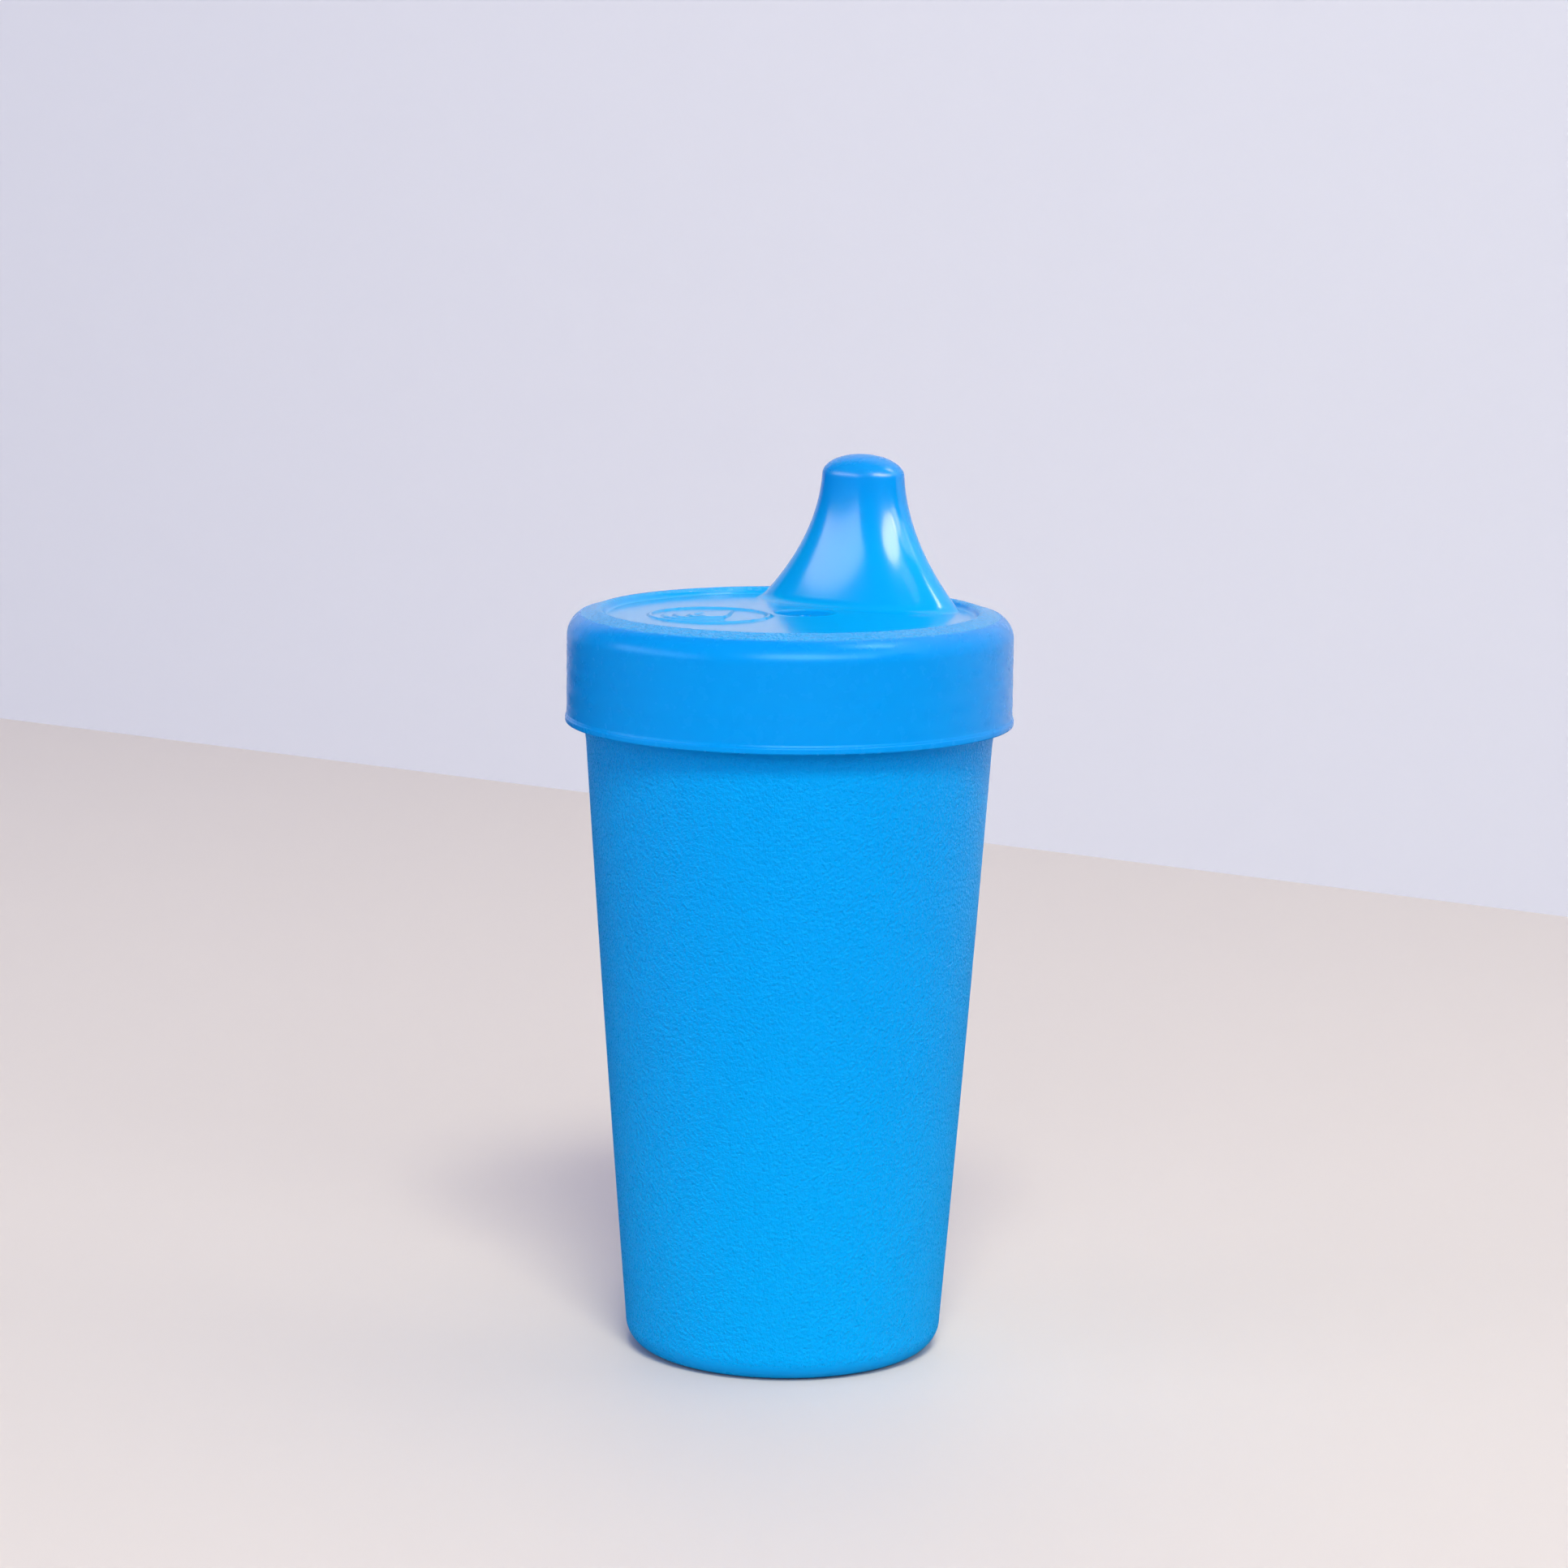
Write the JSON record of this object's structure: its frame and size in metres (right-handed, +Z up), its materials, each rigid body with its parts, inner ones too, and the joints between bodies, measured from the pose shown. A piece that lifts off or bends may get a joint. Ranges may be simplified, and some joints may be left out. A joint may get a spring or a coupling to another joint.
{
  "type": "sippy cup",
  "caption": "Upright toddler sippy cup: tapered tumbler, screw-on lid with a hard oval spout, sealing ring and a slit silicone valve.",
  "frame": {"origin": "centre of the foot, on the surface that the cup stands on", "axes": "+Z up along the cup's axis, +Y towards the spout"},
  "size_m": [0.0788, 0.0788, 0.1579],
  "materials": {
    "cup_plastic": "finely pebbled polyethylene",
    "lid_plastic": "satin skirt, glossy disc and spout, pebbled band on the rim ring",
    "seal_silicone": "satin silicone",
    "valve_silicone": "satin silicone"
  },
  "bodies": {
    "cup": {"cup": "cup_plastic"},
    "ring": {"sealing_ring": "seal_silicone"},
    "lid": {"lid": "lid_plastic"},
    "valve": {"valve": "valve_silicone"}
  },
  "joints": [
    {"name": "lid_rise", "type": "slide", "parent": "cup", "child": "ring", "axis": [0, 0, 1], "range_m": [0, 0.008]},
    {"name": "lid_twist", "type": "hinge", "parent": "ring", "child": "lid", "pos_m": [0, 0, 0.1274], "axis": [0, 0, 1], "range_deg": [0, 720]},
    {"name": "valve_pull", "type": "slide", "parent": "lid", "child": "valve", "axis": [0, 0, -1], "range_m": [0, 0.012]}
  ],
  "couplings": [
    {"joint": "lid_rise", "follows": "lid_twist", "m_per_rad": 0.00063662}
  ]
}
